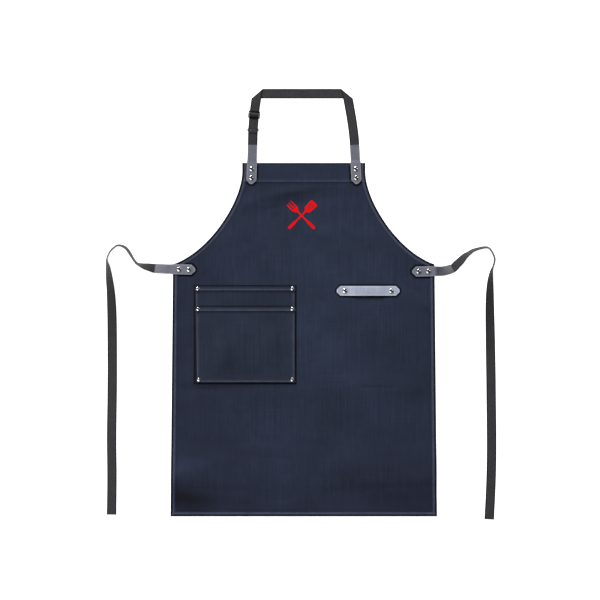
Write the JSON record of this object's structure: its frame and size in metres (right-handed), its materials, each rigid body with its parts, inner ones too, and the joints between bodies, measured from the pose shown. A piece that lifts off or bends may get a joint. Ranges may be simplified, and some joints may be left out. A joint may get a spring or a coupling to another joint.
{
  "type": "barbecue apron",
  "caption": "Canvas bib apron laid flat, with stacked patch pockets, a leather towel loop, riveted leather tongues, an adjustable webbing neck strap and webbing waist ties.",
  "frame": {"origin": "middle of the band along the bib's top, on its back face, which lies on the plane that the apron rests on", "axes": "+X across the apron towards the viewer's right, +Y from the hem to the neck, +Z out of the front face"},
  "size_m": [0.9385, 1.0361, 0.0231],
  "materials": {
    "canvas": "dark blue-grey twill canvas, matt",
    "tongue_leather": "grey leather with a fine grain, half matt",
    "loop_leather": "pale blue-grey leather with a fine grain, half matt",
    "webbing": "black ribbed webbing, matt",
    "plastic": "black moulded plastic",
    "steel": "polished steel rivet caps"
  },
  "bodies": {
    "root": {"apron_panel": "canvas", "pocket_back": "canvas", "pocket_front": "canvas", "towel_loop": "loop_leather", "neck_tab_left": "tongue_leather", "neck_tab_right": "tongue_leather", "waist_tab_left": "tongue_leather", "waist_tab_right": "tongue_leather", "neck_strap": "webbing", "ring_strap": "webbing", "strap_slider": "plastic", "strap_ring": "plastic", "waist_tie_left": "webbing", "waist_tie_right": "webbing", "rivet_neck_1": "steel", "rivet_neck_2": "steel", "rivet_neck_3": "steel", "rivet_neck_4": "steel", "rivet_waist_1": "steel", "rivet_waist_2": "steel", "rivet_waist_3": "steel", "rivet_waist_4": "steel", "rivet_towel_1": "steel", "rivet_towel_2": "steel", "rivet_pocket_1": "steel", "rivet_pocket_2": "steel", "rivet_pocket_3": "steel", "rivet_pocket_4": "steel", "rivet_pocket_5": "steel", "rivet_pocket_6": "steel"}
  },
  "joints": []
}
